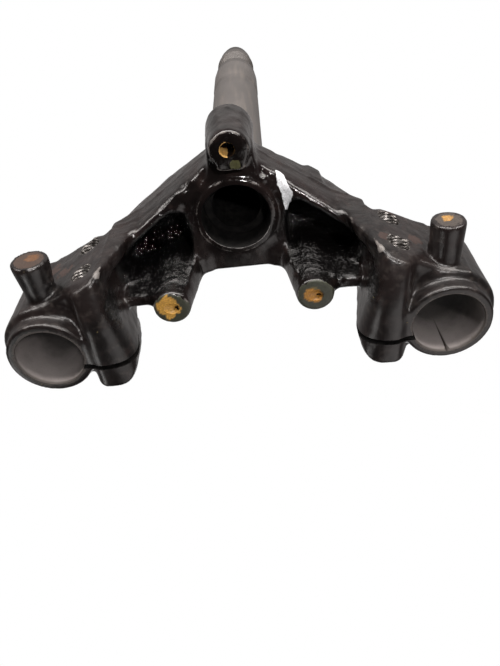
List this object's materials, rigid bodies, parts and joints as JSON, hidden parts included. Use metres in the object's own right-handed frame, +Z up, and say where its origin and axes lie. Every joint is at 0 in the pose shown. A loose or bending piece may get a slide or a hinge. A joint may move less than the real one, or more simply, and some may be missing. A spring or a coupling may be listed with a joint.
{
  "type": "motorbike steering stem",
  "caption": "Cast lower fork bridge with a pressed-in hollow stem tube, two slotted fork clamps with pinch bolt threads, side pegs, mudguard bosses and a rear lug.",
  "frame": {"origin": "stem axis at the open bottom ring of the hub", "axes": "+Z up the stem, +Y forward towards the fork clamps, +X across the bike"},
  "size_m": [0.2204, 0.1036, 0.3045],
  "materials": {
    "bridge_paint": "thick gloss black paint over rough casting, with runs and bare patches",
    "stem_steel": "satin dark grey turned steel"
  },
  "bodies": {
    "root": {"lower_bridge": "bridge_paint", "stem_tube": "stem_steel"}
  },
  "joints": []
}
